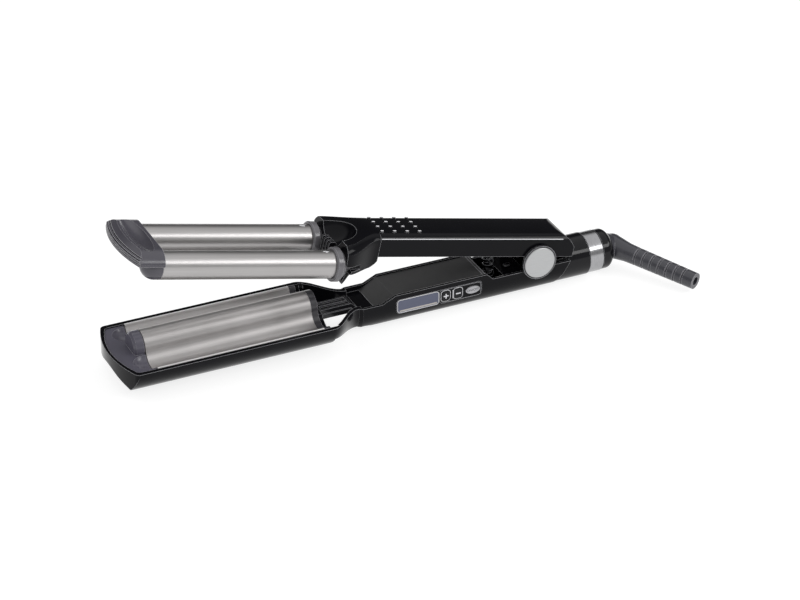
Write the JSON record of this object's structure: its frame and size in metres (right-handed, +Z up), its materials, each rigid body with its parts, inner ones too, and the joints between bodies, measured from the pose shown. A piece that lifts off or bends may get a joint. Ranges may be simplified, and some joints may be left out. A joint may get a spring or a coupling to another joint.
{
  "type": "hair waver",
  "caption": "Hair waver: a sprung arm with round heated barrels closes on a waved heated plate; side control panel with display and keys; turning cord exit.",
  "frame": {"origin": "on the flat keel of the lower arm, on the table, straight below the hinge pin", "axes": "+X from the hinge to the cord, along the lower arm; +Y across, away from the control panel; +Z up from the table"},
  "size_m": [0.411, 0.0961, 0.1079],
  "materials": {
    "housing": "gloss black",
    "cover": "satin dark grey",
    "tip": "satin warm grey",
    "barrel_coat": "brushed titanium-tone coating",
    "band": "heat resistant dark plastic",
    "core": "extruded",
    "ceramic": "white ceramic",
    "steel": "bright",
    "bright_ring": "satin chrome",
    "panel": "gloss black",
    "key": "satin",
    "lens": "tinted",
    "screen": "display",
    "board": "circuit board",
    "boot": "matt"
  },
  "bodies": {
    "root": {"lower_shell": "housing", "lower_cover": "cover", "wave_plate": "barrel_coat", "plate_end_band": "band", "lower_tip_cap": "tip", "spine_bridge": "cover", "ridge_core": "core", "ridge_ceramic": "ceramic", "thermal_fuse": "steel", "control_fascia": "panel", "display_window": "lens", "display_module": "screen", "circuit_board": "board", "tact_switches": "cover", "hinge_pin": "steel", "hinge_sleeve": "cover", "hinge_disc_near": "steel", "hinge_disc_far": "steel", "hinge_bezel_near": "cover", "hinge_bezel_far": "cover", "arm_spring": "steel", "case_screws": "steel", "swivel_collar": "cover", "collar_ring": "bright_ring"},
    "upper_arm": {"upper_shell": "housing", "upper_cover": "cover", "grip_studs": "cover", "barrel_near": "barrel_coat", "barrel_far": "barrel_coat", "barrel_collar_near": "band", "barrel_collar_far": "band", "barrel_core_near": "core", "barrel_core_far": "core", "barrel_ceramic_near": "ceramic", "barrel_ceramic_far": "ceramic", "upper_tip_cap": "tip", "cover_screws": "steel"},
    "plus_button": {"plus_button": "key"},
    "minus_button": {"minus_button": "key"},
    "power_button": {"power_button": "key"},
    "cord_swivel": {"swivel_cone": "cover", "swivel_clip": "steel", "cord_boot": "boot"}
  },
  "joints": [
    {"name": "arm_hinge", "type": "hinge", "parent": "root", "child": "upper_arm", "pos_m": [0, 0, 0.0265], "axis": [0, 1, 0], "range_deg": [-13.3, 0], "stiffness_Nm_per_rad": 1.5, "springref_deg": 34.38, "deforming": ["arm_spring"]},
    {"name": "plus_press", "type": "slide", "parent": "root", "child": "plus_button", "axis": [0, 1, 0], "range_m": [0, 0.0005], "stiffness_N_per_m": 1000, "springref_m": -0.0005},
    {"name": "minus_press", "type": "slide", "parent": "root", "child": "minus_button", "axis": [0, 1, 0], "range_m": [0, 0.0005], "stiffness_N_per_m": 1000, "springref_m": -0.0005},
    {"name": "power_press", "type": "slide", "parent": "root", "child": "power_button", "axis": [0, 1, 0], "range_m": [0, 0.0005], "stiffness_N_per_m": 1000, "springref_m": -0.0005},
    {"name": "cord_swivel_turn", "type": "hinge", "parent": "root", "child": "cord_swivel", "pos_m": [0.05, 0, 0.0148], "axis": [1, 0, 0], "continuous": true}
  ]
}
